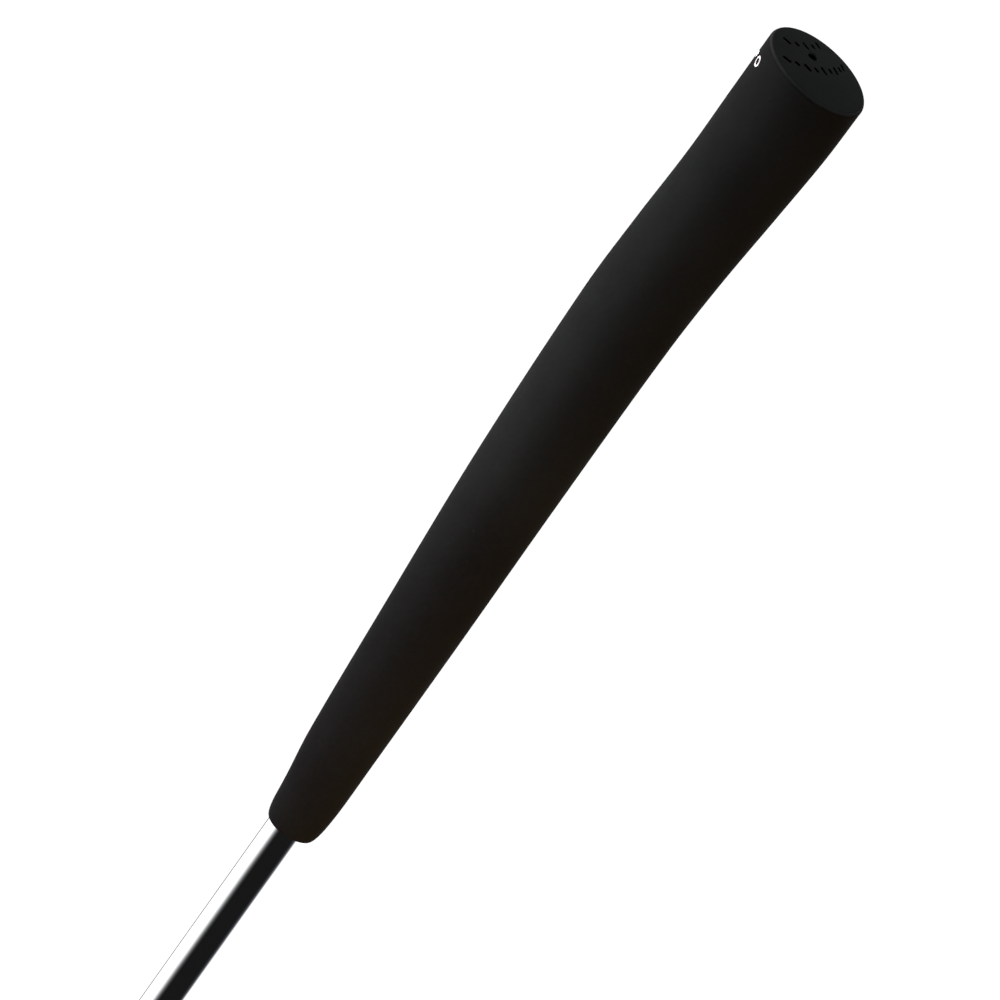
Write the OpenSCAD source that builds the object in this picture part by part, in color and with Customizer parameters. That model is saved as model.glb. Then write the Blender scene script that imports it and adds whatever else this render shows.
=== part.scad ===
// Swing trainer stick: a pistol-shaped rubber grip on a straight chromed tube,
// with a weighted head at the far end. The head's end cap unscrews to let the
// loose weight slugs out.
//
// Frame: Z runs up the tube, z = 0 is the foot of the rubber bumper, the butt of
// the grip is at the top. The flat front of the grip faces -Y, so the YZ plane is
// the grip's plane of symmetry. Millimetres.

/* [Overall] */
// Length from the bumper's foot to the middle of the grip's crown
total_len = 610; // [540:1:760]

/* [Tube] */
// Outside diameter of the tube
tube_d = 12; // [11.6:0.1:12.2]
// Wall of the tube
tube_wall = 1.5; // [1:0.1:2]

/* [Grip sizes] */
// Length of the grip from its mouth to the edge of the cap
grip_len = 266.8; // [255:0.1:290]
// Height of the crowned cap above its edge
crown_h = 1.2; // [0.8:0.1:3]
// Rake of the cap, in degrees: the back edge sits lower than the front
cap_rake = 5; // [0:0.1:6]
// Radius of the edge round the cap
rim_r = 1.3; // [1:0.1:2.6]
// Length of the rounding at the mouth
lip_h = 6.1; // [2:0.1:8]
// How far the rounding at the mouth pulls in
lip_in = 0.9; // [0.5:0.1:1.1]
// Squareness of the flat front (2 is a plain oval)
front_square = 2.25; // [2:0.05:2.8]

/* [Grip stations] */
// Mouth: front depth from the tube's axis
mouth_front = 7.6; // [7.5:0.05:10]
// Mouth: back depth
mouth_back = 7.6; // [7.5:0.05:10]
// Mouth: half width
mouth_half = 7.8; // [7.5:0.05:10]
// Collar, 11 mm up: front depth
collar_front = 8.65; // [8:0.05:11]
// Collar: back depth
collar_back = 8.25; // [8:0.05:10]
// Collar: half width
collar_half = 8.6; // [8:0.05:11]
// Neck, 26 mm up: front depth
neck_front = 10.7; // [9:0.05:12]
// Neck: back depth
neck_back = 8.2; // [7.8:0.05:10]
// Neck: half width
neck_half = 9.5; // [9:0.05:12]
// Lower body, 71 mm up: front depth
lower_front = 14.1; // [11:0.05:16]
// Lower body: back depth
lower_back = 8.05; // [7.8:0.05:10]
// Lower body: half width
lower_half = 10.9; // [10:0.05:13]
// Middle, 121 mm up: front depth
middle_front = 17.9; // [14:0.05:19]
// Middle: back depth
middle_back = 7.8; // [7.7:0.05:11]
// Middle: half width
middle_half = 11.7; // [11:0.05:14]
// Belly, 176 mm up: front depth
belly_front = 19.95; // [16:0.05:21]
// Belly: back depth
belly_back = 7.95; // [7.8:0.05:12]
// Belly: half width
belly_half = 12.5; // [11:0.05:15]
// Upper body, 201 mm up: front depth
upper_front = 19.35; // [16:0.05:21]
// Upper body: back depth
upper_back = 9.05; // [8:0.05:13]
// Upper body: half width
upper_half = 13.05; // [12:0.05:15]
// Waist, 226 mm up: front depth
waist_front = 18.25; // [16:0.05:21]
// Waist: back depth
waist_back = 11.05; // [9:0.05:13]
// Waist: half width
waist_half = 13.7; // [12:0.05:16]
// Kick, 248 mm up: front depth
kick_front = 18.6; // [15:0.05:21]
// Kick: back depth
kick_back = 12.95; // [10:0.05:16]
// Kick: half width
kick_half = 13.35; // [12:0.05:16]
// Butt: front depth
butt_front = 18.4; // [15:0.05:21]
// Butt: back depth
butt_back = 13.2; // [11:0.05:17]
// Butt: half width
butt_half = 14.4; // [13:0.05:17]

/* [Vent] */
// Radius of the vent hole through the cap
vent_r = 1.35; // [1:0.05:1.6]
// Distance of the vent hole from the tube's axis, towards the front
vent_off = 6.2; // [4:0.1:6.3]
// Thickness of the cap over the end of the core, below its edge
cap_t = 4.0; // [3:0.1:6]

/* [Head] */
// Outside diameter of the head
head_d = 28; // [27:0.5:32]
// Thickness of the rubber sleeve round the head
sleeve_t = 1.4; // [1:0.1:1.6]
// Diameter of the slug chamber
chamber_d = 20; // [19:0.1:20.5]
// Height of each weight slug
slug_h = 10; // [8:0.5:10]
// Number of flutes round the end cap
flutes = 28; // [16:2:36]

/* [Bumper] */
// Height of the rubber bumper under the end cap
bumper_h = 5; // [4:0.1:6]

/* [Hidden] */
$fn = 96;

// Gaps, and how far a cutter starts outside its piece
fit = 0.02;         // between pieces that are fixed together
play = 0.05;        // between stacked faces
spigot_gap = 0.05;  // radial, round the screwed spigot
bore_gap = 0.03;    // radial, between the tube and the head pieces round it
cut = 1;

// Radii
tube_r = tube_d / 2;
tube_bore_r = tube_r - tube_wall;
tape_r = tube_r + 0.25;
core_r = tape_r + fit;
head_r = head_d / 2;
chamber_r = chamber_d / 2;
groove_r = head_r - sleeve_t;  // floor of the barrel's groove, under the sleeve
sleeve_r = groove_r + fit;
ferrule_r = head_r - 3.2;
stem_r = 3;                    // bumper's stem
pin_r = 1.5;

// Heights at the grip end
plug_seat = 1.5;               // from the tube's end to the foot of the pocket
pocket_h = 3.9;
mouth_z = total_len - grip_len - crown_h;
pocket_top = mouth_z + grip_len - cap_t;
pocket_bot = pocket_top - pocket_h;
tube_top = pocket_bot - plug_seat;

// Heights up the head
seal_neck_h = 2.6;
socket_h = 22;
trim_h = 2.5;                  // space for the trim ring
washer_h = 1;
slug_count = 3;
flange_top = bumper_h + 12;
barrel_bot = flange_top + play;
seal_neck_top = flange_top + seal_neck_h;
spigot_top = flange_top + 13;
slug_z = spigot_top + play;
slug_step = slug_h + play;
chamber_top = spigot_top + 41;
washer_z = chamber_top - fit - washer_h;
socket_bot = chamber_top + 4;
tube_bot = socket_bot + 0.1;
barrel_top = socket_bot + socket_h;
sleeve_bot = barrel_bot + 10;
sleeve_top = barrel_top - 6;
pin_z = socket_bot + socket_h / 2;

// ---- Grip loft -------------------------------------------------------------
// Columns of the station table
HEIGHT = 0;
FRONT = 1;
BACK = 2;
HALF = 3;
// Stations up the grip: height above the mouth, front depth, back depth, half width
STATIONS = [
    [0,        mouth_front,  mouth_back,  mouth_half],
    [11,       collar_front, collar_back, collar_half],
    [26,       neck_front,   neck_back,   neck_half],
    [71,       lower_front,  lower_back,  lower_half],
    [121,      middle_front, middle_back, middle_half],
    [176,      belly_front,  belly_back,  belly_half],
    [201,      upper_front,  upper_back,  upper_half],
    [226,      waist_front,  waist_back,  waist_half],
    [248,      kick_front,   kick_back,   kick_half],
    [grip_len, butt_front,   butt_back,   butt_half]];
LAST = len(STATIONS) - 1;

SIDES = 40;        // points round one ring
square_run = 80;   // length over which the squareness fades in and out
rake_run = 26;     // length under the cap over which the rake builds up
rim_share = 0.85;  // pull-in at the cap's edge, as a share of rim_r

// Slope of a column at station i, from its neighbours
function slope(i, col) =
    let (below = STATIONS[max(i - 1, 0)], above = STATIONS[min(i + 1, LAST)])
    (above[col] - below[col]) / (above[HEIGHT] - below[HEIGHT]);

// Index of the station that starts the span holding height z
function span(z, i = 0) =
    (i >= LAST - 1 || z < STATIONS[i + 1][HEIGHT]) ? i : span(z, i + 1);

// Value of a column at height z, on a cubic Hermite curve through the stations
function along(z, col) =
    let (i = span(z),
         low = STATIONS[i],
         high = STATIONS[i + 1],
         h = high[HEIGHT] - low[HEIGHT],
         u = (z - low[HEIGHT]) / h)
    (2 * u ^ 3 - 3 * u ^ 2 + 1) * low[col]
    + (u ^ 3 - 2 * u ^ 2 + u) * h * slope(i, col)
    + (3 * u ^ 2 - 2 * u ^ 3) * high[col]
    + (u ^ 3 - u ^ 2) * h * slope(i + 1, col);

// Pull-in of the outline at the mouth
function lip(z) =
    z < lip_h ? lip_in * (1 - sqrt(1 - ((lip_h - z) / lip_h) ^ 2)) : 0;

// Pull-in of the outline round the cap
function rim(z) =
    let (up = z - grip_len + rim_r)
    up > 0 ? rim_share * (rim_r - sqrt(max(rim_r ^ 2 - up ^ 2, 0))) : 0;

function signed_power(value, power) = sign(value) * abs(value) ^ power;

// One ring: an oval with a squarer front, scaled about its own centre
function ring(z, scaling = 1, lift = 0) =
    let (inset = lip(z) + rim(z),
         front = along(z, FRONT) - inset,
         back = along(z, BACK) - inset,
         half = along(z, HALF) - inset,
         depth = (front + back) / 2,
         centre = (front - back) / 2,
         fade = min(z / square_run, 1) * min((grip_len - z) / square_run, 1),
         front_power = 2 + (front_square - 2) * fade,
         rake = tan(cap_rake) * max(z - grip_len + rake_run, 0) / rake_run)
    [for (k = [0 : SIDES - 1])
        let (angle = 360 * k / SIDES,
             power = 2 / (cos(angle) > 0 ? front_power : 2),
             forward = scaling * depth * signed_power(cos(angle), power))
        [scaling * half * signed_power(sin(angle), power),
         -centre - forward,
         z + lift + rake * forward]];

// Point in the middle of a station's outline, at height z
function hub(station, z) = [0, -(station[FRONT] - station[BACK]) / 2, z];

// Rings from the mouth's lip, up the body, round the rim and over the crown
body_steps = 26;
rim_z = grip_len - rim_r;
RINGS = concat(
    [for (u = [0, 0.06, 0.16, 0.32, 0.6]) ring(lip_h * u)],
    [for (k = [0 : body_steps]) ring(lip_h + (rim_z - lip_h) * k / body_steps)],
    [for (u = [0.45, 0.78, 1]) ring(rim_z + rim_r * u)],
    [for (g = [0.82, 0.6, 0.35]) ring(grip_len, g, crown_h * (1 - g ^ 2))]);

// Solid grip, standing on its mouth at z = 0
module grip_body() {
    points = concat(
        [for (r = RINGS) each r],
        [hub(STATIONS[0], 0), hub(STATIONS[LAST], grip_len + crown_h)]);
    top_start = (len(RINGS) - 1) * SIDES;
    bottom_hub = top_start + SIDES;
    top_hub = bottom_hub + 1;
    faces = concat(
        [for (r = [0 : len(RINGS) - 2], k = [0 : SIDES - 1])
            let (next = (k + 1) % SIDES, low = r * SIDES, high = low + SIDES)
            each [[low + k, high + k, high + next],
                  [low + k, high + next, low + next]]],
        [for (k = [0 : SIDES - 1]) [bottom_hub, k, (k + 1) % SIDES]],
        [for (k = [0 : SIDES - 1])
            [top_hub, top_start + (k + 1) % SIDES, top_start + k]]);
    polyhedron(points = points, faces = faces, convexity = 4);
}

// ---- Grip and tube ---------------------------------------------------------
// Rubber grip with a core for the tube, a wider pocket under the cap and a vent
module grip() {
    pocket_r = 8;
    core_overlap = 0.1;  // core runs this far into the pocket
    color("#1d1e1d")
    translate([0, 0, mouth_z])
    difference() {
        grip_body();
        translate([0, 0, -cut])
            cylinder(r = core_r, h = pocket_bot - mouth_z + cut + core_overlap);
        translate([0, 0, pocket_bot - mouth_z]) cylinder(r = pocket_r, h = pocket_h);
        translate([0, -vent_off, grip_len - cap_t - cut])
            cylinder(r = vent_r, h = cap_t + crown_h + 3, $fn = 48);
    }
}

// Double-sided tape between the tube and the grip's core
module grip_tape() {
    mouth_inset = 3;
    top_inset = 1;
    tape_h = tube_top - mouth_z - mouth_inset - top_inset;
    color("#e8e2cf")
    translate([0, 0, mouth_z + mouth_inset])
    difference() {
        cylinder(r = tape_r, h = tape_h);
        translate([0, 0, -cut]) cylinder(r = tube_r + 0.01, h = tape_h + 4);
    }
}

// Straight chromed tube, cross-drilled for the pin
module tube() {
    color("#d9dde2")
    difference() {
        translate([0, 0, tube_bot]) cylinder(r = tube_r, h = tube_top - tube_bot);
        cylinder(r = tube_bore_r, h = total_len);
        pin_hole();
    }
}

// Plug in the tube's butt, with a flange that keeps the edge off the rubber
module butt_plug() {
    plug_bot = tube_top - 12;
    plug_top = pocket_bot - play;
    plug_r = tube_bore_r - fit;
    flange_r = tube_r - 0.2;
    color("#303236")
    rotate_extrude()
        polygon([[0, plug_bot], [tube_bore_r - 0.6, plug_bot],
                 [plug_r, plug_bot + 2], [plug_r, tube_top + fit],
                 [flange_r, tube_top + fit], [flange_r, plug_top - 0.45],
                 [flange_r - 0.5, plug_top], [0, plug_top]]);
}

// ---- Head ------------------------------------------------------------------
// Cutter for the cross pin's hole, along X
module pin_hole() {
    translate([-head_r, 0, pin_z]) rotate([0, 90, 0])
        cylinder(r = pin_r + fit, h = head_d, $fn = 48);
}

// Tapered collar that covers the joint of tube and head
module ferrule() {
    foot_z = barrel_top + trim_h;
    height = 20;
    edge_h = 1.2;         // straight edge at the foot
    taper_h = height - 2;
    tip_r = tube_r + 0.9;
    bore_r = tube_r + bore_gap;
    steps = 12;
    color("#17181a")
    rotate_extrude()
        polygon(concat(
            [[bore_r, foot_z], [ferrule_r, foot_z]],
            [for (k = [0 : steps]) let (u = k / steps)
                [tip_r + (ferrule_r - tip_r) * (1 - u) ^ 1.5, foot_z + edge_h + taper_h * u]],
            [[tube_r + 0.5, foot_z + height], [bore_r, foot_z + height]]));
}

// Bright ring between ferrule and head
module trim_ring() {
    ring_h = trim_h - 2 * fit;
    ring_r = head_r - 2.1;
    bore_r = tube_r + bore_gap;
    color("#c9ccd0")
    translate([0, 0, barrel_top + fit])
    rotate_extrude()
        polygon([[bore_r, 0], [ring_r - 0.3, 0], [ring_r, 0.4],
                 [ring_r, 2.0], [ring_r - 0.3, ring_h], [bore_r, ring_h]]);
}

// Steel barrel: slug chamber below, tube socket above
module head_barrel() {
    foot_chamfer = 0.5;
    groove_chamfer = 0.3;
    top_chamfer = 1.8;
    counterbore_h = 3;
    color("#aeb2b6")
    difference() {
        rotate_extrude()
            polygon([[0, barrel_bot], [head_r - foot_chamfer, barrel_bot],
                     [head_r, barrel_bot + foot_chamfer],
                     [head_r, sleeve_bot - groove_chamfer],
                     [head_r - groove_chamfer, sleeve_bot],
                     [groove_r, sleeve_bot], [groove_r, sleeve_top],
                     [head_r - groove_chamfer, sleeve_top],
                     [head_r, sleeve_top + groove_chamfer],
                     [head_r, barrel_top - top_chamfer],
                     [head_r - top_chamfer, barrel_top], [0, barrel_top]]);
        translate([0, 0, barrel_bot - cut])
            cylinder(r = chamber_r, h = chamber_top - barrel_bot + cut);
        translate([0, 0, barrel_bot - cut])
            cylinder(r = chamber_r + 0.45, h = counterbore_h + cut);
        translate([0, 0, socket_bot]) cylinder(r = tube_r + bore_gap, h = 40);
        pin_hole();
    }
}

// Rubber sleeve in the barrel's groove, with shallow rings cut round it
module barrel_sleeve() {
    sleeve_h = sleeve_top - sleeve_bot - 2 * play;
    chamfer = 0.35;
    color("#222325")
    translate([0, 0, sleeve_bot + play])
    difference() {
        rotate_extrude()
            polygon([[sleeve_r, 0], [head_r - chamfer, 0], [head_r, chamfer],
                     [head_r, sleeve_h - chamfer], [head_r - chamfer, sleeve_h],
                     [sleeve_r, sleeve_h]]);
        for (z = [8 : 6 : sleeve_h - 7])
            translate([0, 0, z])
                rotate_extrude()
                    translate([head_r + 0.35, 0]) circle(r = 0.95, $fn = 24);
    }
}

// Slotted spring pin through barrel and tube
module cross_pin() {
    pin_len = 2 * groove_r - 0.4;
    slot_w = 0.5;
    color("#8e9296")
    translate([-pin_len / 2, 0, pin_z]) rotate([0, 90, 0])
    difference() {
        cylinder(r = pin_r, h = pin_len, $fn = 48);
        translate([0, 0, -cut]) cylinder(r = 0.8, h = pin_len + 2 * cut, $fn = 32);
        translate([0, -slot_w / 2, -cut]) cube([3, slot_w, pin_len + 2 * cut]);
    }
}

// Washer that the spring pushes on
module spring_washer() {
    color("#c4a35a")
    translate([0, 0, washer_z])
    difference() {
        cylinder(r = chamber_r - 0.4, h = washer_h);
        translate([0, 0, -cut]) cylinder(r = 3, h = washer_h + 2 * cut);
    }
}

// Coil spring that keeps the slugs from rattling
module slug_spring() {
    wire_r = 0.7;
    coil_r = chamber_r - 2.4;
    bottom = slug_z + slug_count * slug_step + wire_r + play;
    top = washer_z - wire_r - play;
    turns = 4;
    turn_steps = 20;
    wire_sides = 6;
    steps = turns * turn_steps;
    points = [for (i = [0 : steps], k = [0 : wire_sides - 1])
        let (turn = 360 * i / turn_steps,
             angle = 360 * k / wire_sides,
             r = coil_r + wire_r * cos(angle))
        [r * cos(turn), r * sin(turn),
         bottom + (top - bottom) * i / steps + wire_r * sin(angle)]];
    faces = concat(
        [for (i = [0 : steps - 1], k = [0 : wire_sides - 1])
            let (next = (k + 1) % wire_sides, low = i * wire_sides, high = low + wire_sides)
            each [[low + k, low + next, high + next],
                  [low + k, high + next, high + k]]],
        [[for (k = [wire_sides - 1 : -1 : 0]) k]],
        [[for (k = [0 : wire_sides - 1]) steps * wire_sides + k]]);
    color("#9ba1a6") polyhedron(points = points, faces = faces, convexity = 6);
}

// One loose weight slug with a hole through it, i places up the stack
module slug(i) {
    slug_r = chamber_r - 0.15;
    chamfer = 0.6;
    translate([0, 0, slug_z + i * slug_step])
    difference() {
        rotate_extrude()
            polygon([[0, 0], [slug_r - chamfer, 0], [slug_r, chamfer],
                     [slug_r, slug_h - chamfer], [slug_r - chamfer, slug_h], [0, slug_h]]);
        translate([0, 0, -cut]) cylinder(r = 2, h = slug_h + 2 * cut, $fn = 48);
    }
}
module slug_upper() color("#b9975b") slug(2);
module slug_middle() color("#b9975b") slug(1);
module slug_lower() color("#b9975b") slug(0);

// Ring seal round the neck above the cap's flange
module cap_seal() {
    color("#151515")
    translate([0, 0, flange_top + seal_neck_h / 2])
        rotate_extrude() translate([chamber_r - 0.7, 0]) circle(r = 0.85, $fn = 32);
}

// Screwed end cap: fluted flange, seal neck and hollow spigot
module end_cap() {
    flange_r = head_r - 0.2;
    foot_chamfer = 1.4;
    top_chamfer = 0.6;
    seal_neck_r = chamber_r - 1.6;
    spigot_r = chamber_r - spigot_gap;
    color("#9fa4a9")
    difference() {
        rotate_extrude()
            polygon([[0, bumper_h], [flange_r - foot_chamfer, bumper_h],
                     [flange_r, bumper_h + foot_chamfer],
                     [flange_r, flange_top - top_chamfer],
                     [flange_r - top_chamfer, flange_top],
                     [seal_neck_r, flange_top], [seal_neck_r, seal_neck_top],
                     [chamber_r - 0.6, seal_neck_top], [spigot_r, seal_neck_top + 0.6],
                     [spigot_r, spigot_top - 1], [chamber_r - 1, spigot_top],
                     [0, spigot_top]]);
        // Hollow, then the hole for the bumper's stem
        translate([0, 0, bumper_h + 7]) cylinder(r = 7, h = 40);
        translate([0, 0, bumper_h - cut]) cylinder(r = stem_r + fit, h = 20, $fn = 64);
        for (k = [0 : flutes - 1])
            rotate([0, 0, 360 * k / flutes])
                translate([head_r + 0.35, 0, bumper_h + 2]) cylinder(r = 1, h = 8.2, $fn = 16);
    }
}

// Rubber bumper held by its own barbed stem
module bumper() {
    bumper_r = head_r - 1.4;
    edge_r = 2;
    foot_r = bumper_r - edge_r;
    barb_z = bumper_h + 7.1;
    barb_top = barb_z + 2.7;
    color("#1a1a1b")
    rotate_extrude()
        polygon(concat(
            [[0, 0], [foot_r, 0]],
            [for (t = [15 : 15 : 90]) [foot_r + edge_r * sin(t), edge_r * (1 - cos(t))]],
            [[bumper_r, bumper_h - 0.6], [bumper_r - 0.5, bumper_h - fit],
             [stem_r, bumper_h - fit], [stem_r, barb_z], [stem_r + 0.7, barb_z],
             [3.3, barb_z + 1.5], [2.2, barb_top], [0, barb_top]]));
}

grip();
grip_tape();
tube();
butt_plug();
ferrule();
trim_ring();
head_barrel();
barrel_sleeve();
cross_pin();
spring_washer();
slug_spring();
slug_upper();
slug_middle();
slug_lower();
cap_seal();
end_cap();
bumper();
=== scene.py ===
"""A weighted stick, standing upright about Z with its bumper foot down and its grip on top.

The barrel at the bottom holds three slugs and a spring behind a screw cap. The grip's front,
its deeper side, faces -Y; the camera looks down from the +X +Y side.
Outlines are lists of (radius, height) in millimetres. Meshes, shaders and stage are in metres.
"""
import math

import bpy
import numpy as np
from mathutils import Matrix, Vector


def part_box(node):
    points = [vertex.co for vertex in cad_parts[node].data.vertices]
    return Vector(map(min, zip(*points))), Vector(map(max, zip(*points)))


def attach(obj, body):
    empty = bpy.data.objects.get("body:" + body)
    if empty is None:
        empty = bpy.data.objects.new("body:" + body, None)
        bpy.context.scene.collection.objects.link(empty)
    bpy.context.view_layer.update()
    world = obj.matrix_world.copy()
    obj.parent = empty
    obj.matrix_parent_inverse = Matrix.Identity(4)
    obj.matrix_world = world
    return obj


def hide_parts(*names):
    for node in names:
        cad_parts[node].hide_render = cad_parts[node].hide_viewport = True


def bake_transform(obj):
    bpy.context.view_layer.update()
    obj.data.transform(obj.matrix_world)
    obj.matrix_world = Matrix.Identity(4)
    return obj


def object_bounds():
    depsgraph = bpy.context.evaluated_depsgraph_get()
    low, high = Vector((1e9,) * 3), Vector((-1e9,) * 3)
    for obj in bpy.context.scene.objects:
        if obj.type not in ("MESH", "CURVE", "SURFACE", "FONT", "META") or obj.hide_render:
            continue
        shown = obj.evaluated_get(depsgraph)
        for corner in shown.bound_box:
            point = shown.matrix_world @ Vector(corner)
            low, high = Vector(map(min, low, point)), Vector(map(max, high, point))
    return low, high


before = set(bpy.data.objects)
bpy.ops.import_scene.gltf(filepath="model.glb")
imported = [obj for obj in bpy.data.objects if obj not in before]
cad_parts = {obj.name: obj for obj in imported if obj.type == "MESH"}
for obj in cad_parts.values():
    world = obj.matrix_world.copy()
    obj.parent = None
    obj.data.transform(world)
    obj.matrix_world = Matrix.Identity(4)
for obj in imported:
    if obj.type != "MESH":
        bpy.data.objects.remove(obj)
cad_lo, cad_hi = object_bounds()
MM = 0.001


def extent(node):
    """Bottom, top and radius of a CAD piece, in mm."""
    lo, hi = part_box(node)
    return lo.z / MM, hi.z / MM, hi.x / MM


# ---------------------------------------------------------------- shared dimensions, mm

TUBE_BOTTOM, TUBE_TOP, TUBE_R = extent("tube")
TUBE_WALL = 1.5
PIN_BOTTOM, PIN_TOP, PIN_HALF_LENGTH = extent("cross_pin")
PIN_Z = (PIN_BOTTOM + PIN_TOP) / 2
PIN_HOLE_R = 1.52
BARREL_BOTTOM, BARREL_TOP, BARREL_R = extent("head_barrel")
SLEEVE_BOTTOM, SLEEVE_TOP, _ = extent("barrel_sleeve")
SLEEVE_SEAT_R = BARREL_R - 1.4
CAP_BOTTOM, CAP_TOP, CAP_R = extent("end_cap")
THREAD_PITCH, THREAD_STARTS = 2.0, 2   # barrel mouth and end cap

# Grip. Its heights are measured up from its mouth.
MOUTH = extent("grip")[0]
GRIP_LENGTH = 266.8
CROWN = 1.2                        # rise of the domed top
RAKE = math.tan(math.radians(5))   # slope of the top, rising to the front
RAKE_SPAN = 26.0                   # length over which the slope comes in
LIP_HEIGHT, LIP_INSET = 6.1, 0.9   # rounding at the mouth
RIM = 1.3                          # rounding round the top
RIM_ARC = math.radians(74)
RIM_INSET = RIM * (1 - math.cos(RIM_ARC))
BORE_R = 6.27
POCKET_R = 8.0
POCKET_TOP = GRIP_LENGTH - 4.0
POCKET_BOTTOM = POCKET_TOP - 3.9
VENT_FORWARD, VENT_R = 6.2, 1.35

# Grip sections: height, front depth, back depth, half width
STATIONS = np.array([
    [0.0, 7.6, 7.6, 7.8],
    [11.0, 8.65, 8.25, 8.6],
    [26.0, 10.7, 8.2, 9.5],
    [71.0, 14.1, 8.05, 10.9],
    [121.0, 17.9, 7.8, 11.7],
    [176.0, 19.95, 7.95, 12.5],
    [201.0, 19.35, 9.05, 13.05],
    [226.0, 18.25, 11.05, 13.7],
    [248.0, 18.6, 12.95, 13.35],
    [GRIP_LENGTH, 18.4, 13.2, 14.4],
])
TOP_FORWARD = (STATIONS[-1, 1] - STATIONS[-1, 2]) / 2   # top section's centre, towards -Y


# ---------------------------------------------------------------- mesh helpers

def link(obj):
    bpy.context.scene.collection.objects.link(obj)
    return obj


def make(name, verts, faces, sharp=35.0):
    """A smooth-shaded mesh object; edges steeper than sharp degrees stay sharp."""
    mesh = bpy.data.meshes.new(name)
    mesh.from_pydata([tuple(map(float, v)) for v in verts], [],
                     [tuple(map(int, f)) for f in faces])
    mesh.validate()
    mesh.shade_smooth()
    if sharp:
        mesh.set_sharp_from_angle(angle=math.radians(sharp))
    return link(bpy.data.objects.new(name, mesh))


def weld_rings(rings, start=None, end=None):
    """Quads between equal rings of points, and a fan to a point at either end."""
    n = len(rings[0])
    verts = np.concatenate(rings)
    faces = []
    for r in range(len(rings) - 1):
        a, b = r * n, (r + 1) * n
        for k in range(n):
            m = (k + 1) % n
            faces.append((a + k, a + m, b + m, b + k))
    if start is not None:
        tip = len(verts)
        verts = np.vstack([verts, start])
        faces += [(tip, (k + 1) % n, k) for k in range(n)]
    if end is not None:
        tip = len(verts)
        verts = np.vstack([verts, end])
        a = (len(rings) - 1) * n
        faces += [(tip, a + k, a + (k + 1) % n) for k in range(n)]
    return verts, faces


def turned(name, outline, segments=192, shape=None, sharp=35.0):
    """A turned solid about Z. An outline that starts and ends on the axis is closed there;
    any other is joined end to end. shape(radius, z, angles) is added to a ring's radius."""
    angles = np.linspace(0, 2 * math.pi, segments, endpoint=False)
    cosines, sines = np.cos(angles), np.sin(angles)
    solid = outline[0][0] < 1e-9 and outline[-1][0] < 1e-9
    rings = []
    for radius, z in (outline[1:-1] if solid else outline):
        radii = np.full(segments, float(radius))
        if shape:
            radii = radii + shape(radius, z, angles)
        rings.append(np.column_stack([radii * cosines, radii * sines,
                                      np.full(segments, z)]) * MM)
    if solid:
        verts, faces = weld_rings(rings, (0, 0, outline[0][1] * MM), (0, 0, outline[-1][1] * MM))
    else:
        verts, faces = weld_rings(rings)
        last = (len(rings) - 1) * segments
        for k in range(segments):
            j = (k + 1) % segments
            faces.append((last + k, last + j, j, k))
    return make(name, verts, faces, sharp)


def fillet(outline, radius=0.0, steps=4):
    """Rounds the corners of an open outline. A point's third value is its own radius."""
    rounded = [tuple(outline[0][:2])]
    for before, point, after in zip(outline, outline[1:], outline[2:]):
        size = point[2] if len(point) > 2 else radius
        corner, a, b = (np.array(q[:2], float) for q in (point, before, after))
        if size > 0:
            u, v = a - corner, b - corner
            len_u, len_v = np.linalg.norm(u), np.linalg.norm(v)
            u, v = u / len_u, v / len_v
            angle = math.acos(max(-1, min(1, float(u @ v))))
            if angle <= math.pi - 0.02:
                reach = min(size / math.tan(angle / 2), len_u * 0.49, len_v * 0.49)
                first, last = corner + u * reach, corner + v * reach
                for s in range(steps + 1):
                    w = s / steps
                    rounded.append(tuple((1 - w) ** 2 * first + 2 * w * (1 - w) * corner
                                         + w * w * last))
                continue
        rounded.append(tuple(corner))
    rounded.append(tuple(outline[-1][:2]))
    return rounded


def dense(outline, step, low, high):
    """Adds points along the segments of an outline that lie between two heights."""
    points = [outline[0]]
    for (r0, h0), (r1, h1) in zip(outline[:-1], outline[1:]):
        if min(h0, h1) >= low - 1e-6 and max(h0, h1) <= high + 1e-6:
            k = max(1, int(math.ceil(math.hypot(r1 - r0, h1 - h0) / step)))
            points += [(r0 + (r1 - r0) * i / k, h0 + (h1 - h0) * i / k) for i in range(1, k + 1)]
        else:
            points.append((r1, h1))
    return points


def window(z, low, high, soft):
    """0 outside low..high, 1 inside, smooth over soft at both ends."""
    u = min(max((z - low) / soft, 0.0), 1.0) * min(max((high - z) / soft, 0.0), 1.0)
    return u * u * (3 - 2 * u)


def helix(z, angles, pitch, starts, depth):
    """Depth of a right-handed thread's groove at height z."""
    phase = (z / pitch - starts * angles / (2 * math.pi)) % 1.0
    ridge = np.abs(phase * 2 - 1)
    return depth * np.clip((0.86 - ridge) / 0.62, 0, 1)


def cut(target, cutter, solver="EXACT"):
    """Takes the cutter out of the target and removes it."""
    modifier = target.modifiers.new("cut", "BOOLEAN")
    modifier.operation = "DIFFERENCE"
    modifier.object = cutter
    modifier.solver = solver
    depsgraph = bpy.context.evaluated_depsgraph_get()
    mesh = bpy.data.meshes.new_from_object(target.evaluated_get(depsgraph))
    target.modifiers.clear()
    old = target.data
    target.data = mesh
    bpy.data.meshes.remove(old)
    bpy.data.objects.remove(cutter)


def cut_pin_hole(target, half_length):
    """Cuts the cross pin's hole along X."""
    drill = turned("cut_pin", [(0, -half_length), (PIN_HOLE_R, -half_length),
                               (PIN_HOLE_R, half_length), (0, half_length)], segments=48)
    drill.data.transform(Matrix.Translation((0, 0, PIN_Z * MM))
                         @ Matrix.Rotation(math.pi / 2, 4, "Y"))
    cut(target, drill)


# ---------------------------------------------------------------- shader helpers

def rgba(colour):
    colour = tuple(colour) if isinstance(colour, (tuple, list)) else (colour,) * 3
    return colour if len(colour) == 4 else (*colour, 1.0)


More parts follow.
